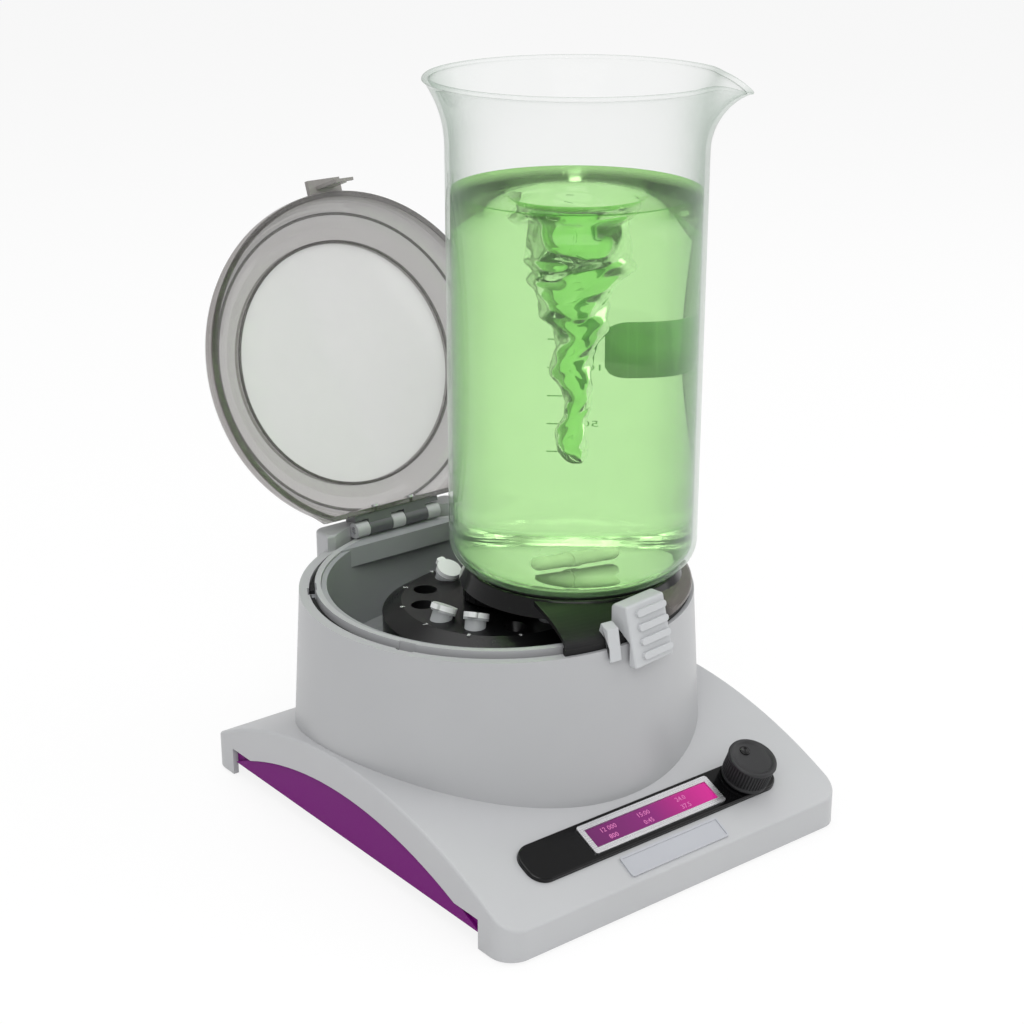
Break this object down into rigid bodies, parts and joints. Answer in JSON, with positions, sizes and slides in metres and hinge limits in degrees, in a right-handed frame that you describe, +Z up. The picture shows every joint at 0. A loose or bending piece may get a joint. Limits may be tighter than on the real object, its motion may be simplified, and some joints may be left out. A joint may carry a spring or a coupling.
{
  "type": "centrifuge and magnetic stirrer",
  "caption": "Bench instrument with a hinged smoked lid over a round bowl and rotor, and a lift-off stirring platform carrying a tall beaker of stirred liquid.",
  "frame": {"origin": "on the bench under the middle of the whole footprint with the lid open", "axes": "+Z up, X along the front edge with +X to the right of someone facing the display, -Y is the front"},
  "size_m": [0.214, 0.302, 0.3648],
  "materials": {
    "grey_case": "satin moulded, light grey",
    "purple_panel": "satin moulded, plum purple",
    "dark_plastic": "fine spark texture",
    "rotor_black": "semi-gloss moulded",
    "liner_grey": "mid-grey moulded",
    "soft_black": "matt",
    "foot_grey": "matt",
    "smoked_clear": "smoked transparent, polished",
    "window_clear": "clear, polished",
    "steel": "turned and ground",
    "zinc": "zinc plated",
    "silver_trim": "satin anodised",
    "panel_black": "high gloss",
    "display": "back-lit magenta",
    "board_green": "solder mask",
    "clip_grey": "fine texture",
    "tube_clear": "frosted translucent",
    "cap_white": "moulded",
    "magnet": "nickel plated",
    "coil": "enamelled windings on laminations",
    "clear_glass": "polished",
    "green_liquid": "clear, coloured",
    "white_ptfe": "smooth"
  },
  "bodies": {
    "instrument": {"base_shell": "grey_case", "side_panel_left": "purple_panel", "side_panel_right": "purple_panel", "base_plate": "dark_plastic", "rubber_feet": "foot_grey", "base_screws": "zinc", "drum_housing": "grey_case", "drum_screws": "zinc", "chamber_liner": "liner_grey", "rim_seal": "soft_black", "damper_bushes": "soft_black", "motor_bracket": "zinc", "motor_screws": "zinc", "motor_can": "zinc", "lower_bearing": "steel", "upper_bearing": "steel", "motor_stator": "coil", "hinge_bracket": "grey_case", "hinge_pin": "steel", "latch_guide": "dark_plastic", "panel_fascia": "panel_black", "display_bezel": "silver_trim", "display_window": "display", "display_module": "dark_plastic", "encoder": "zinc", "name_plate": "silver_trim", "main_board": "board_green", "board_parts": "dark_plastic", "rear_panel": "dark_plastic", "power_switch": "dark_plastic", "power_inlet": "dark_plastic"},
    "lid": {"lid_shell": "smoked_clear", "lid_window": "window_clear", "lid_gasket": "soft_black", "lid_latch": "clip_grey", "hinge_leaf": "grey_case", "leaf_screws": "zinc"},
    "spinner": {"rotor": "rotor_black", "motor_shaft": "steel", "rotor_nut": "rotor_black", "hub_magnets": "magnet", "motor_magnet": "magnet", "sample_tubes": "tube_clear", "tube_caps": "cap_white"},
    "dial": {"knob": "dark_plastic", "encoder_shaft": "steel"},
    "switch_key": {"power_rocker": "panel_black"},
    "latch": {"latch_slider": "steel"},
    "platform": {"platform_bell": "rotor_black", "platform_skirt": "smoked_clear", "platform_seal": "soft_black", "platform_clip": "clip_grey", "platform_pad": "soft_black", "drive_cover": "dark_plastic", "carrier_pin": "steel"},
    "carrier": {"magnet_carrier": "dark_plastic", "drive_magnets": "magnet"},
    "vessel": {"beaker": "clear_glass", "liquid": "green_liquid"},
    "stirrer": {"stir_bar": "white_ptfe"}
  },
  "joints": [
    {"name": "platform_lift", "type": "slide", "parent": "instrument", "child": "platform", "axis": [0, -0.7071, 0.7071], "range_m": [0, 0.36]},
    {"name": "lid_hinge", "type": "hinge", "parent": "instrument", "child": "lid", "pos_m": [0, 0.08096, 0.119], "axis": [1, 0, 0], "range_deg": [0, 110.01]},
    {"name": "rotor_spin", "type": "hinge", "parent": "instrument", "child": "spinner", "pos_m": [0, -0.00704, 0.103], "axis": [0, 0, 1], "continuous": true},
    {"name": "carrier_spin", "type": "hinge", "parent": "platform", "child": "carrier", "pos_m": [0.029, -0.03204, 0.1175], "axis": [0, 0, 1], "continuous": true},
    {"name": "vessel_lift", "type": "slide", "parent": "platform", "child": "vessel", "axis": [0, 0, 1], "range_m": [0, 0.1]},
    {"name": "stir_spin", "type": "hinge", "parent": "vessel", "child": "stirrer", "pos_m": [0.029, -0.03204, 0.13165], "axis": [0, 0, 1], "continuous": true},
    {"name": "knob_turn", "type": "hinge", "parent": "instrument", "child": "dial", "pos_m": [0.061, -0.12705, 0.03097], "axis": [0, -0.4023, 0.9155], "continuous": true},
    {"name": "power_rock", "type": "hinge", "parent": "instrument", "child": "switch_key", "pos_m": [0.014, 0.09896, 0.07], "axis": [-1, 0, 0], "range_deg": [0, 18]},
    {"name": "latch_slide", "type": "slide", "parent": "instrument", "child": "latch", "axis": [-1, 0, 0], "range_m": [0, 0.004]}
  ],
  "couplings": [
    {"joint": "lid_hinge", "follows": "platform_lift", "rad_per_m": 5.333},
    {"joint": "carrier_spin", "follows": "rotor_spin", "ratio": -0.5},
    {"joint": "stir_spin", "follows": "rotor_spin", "ratio": -0.5}
  ]
}
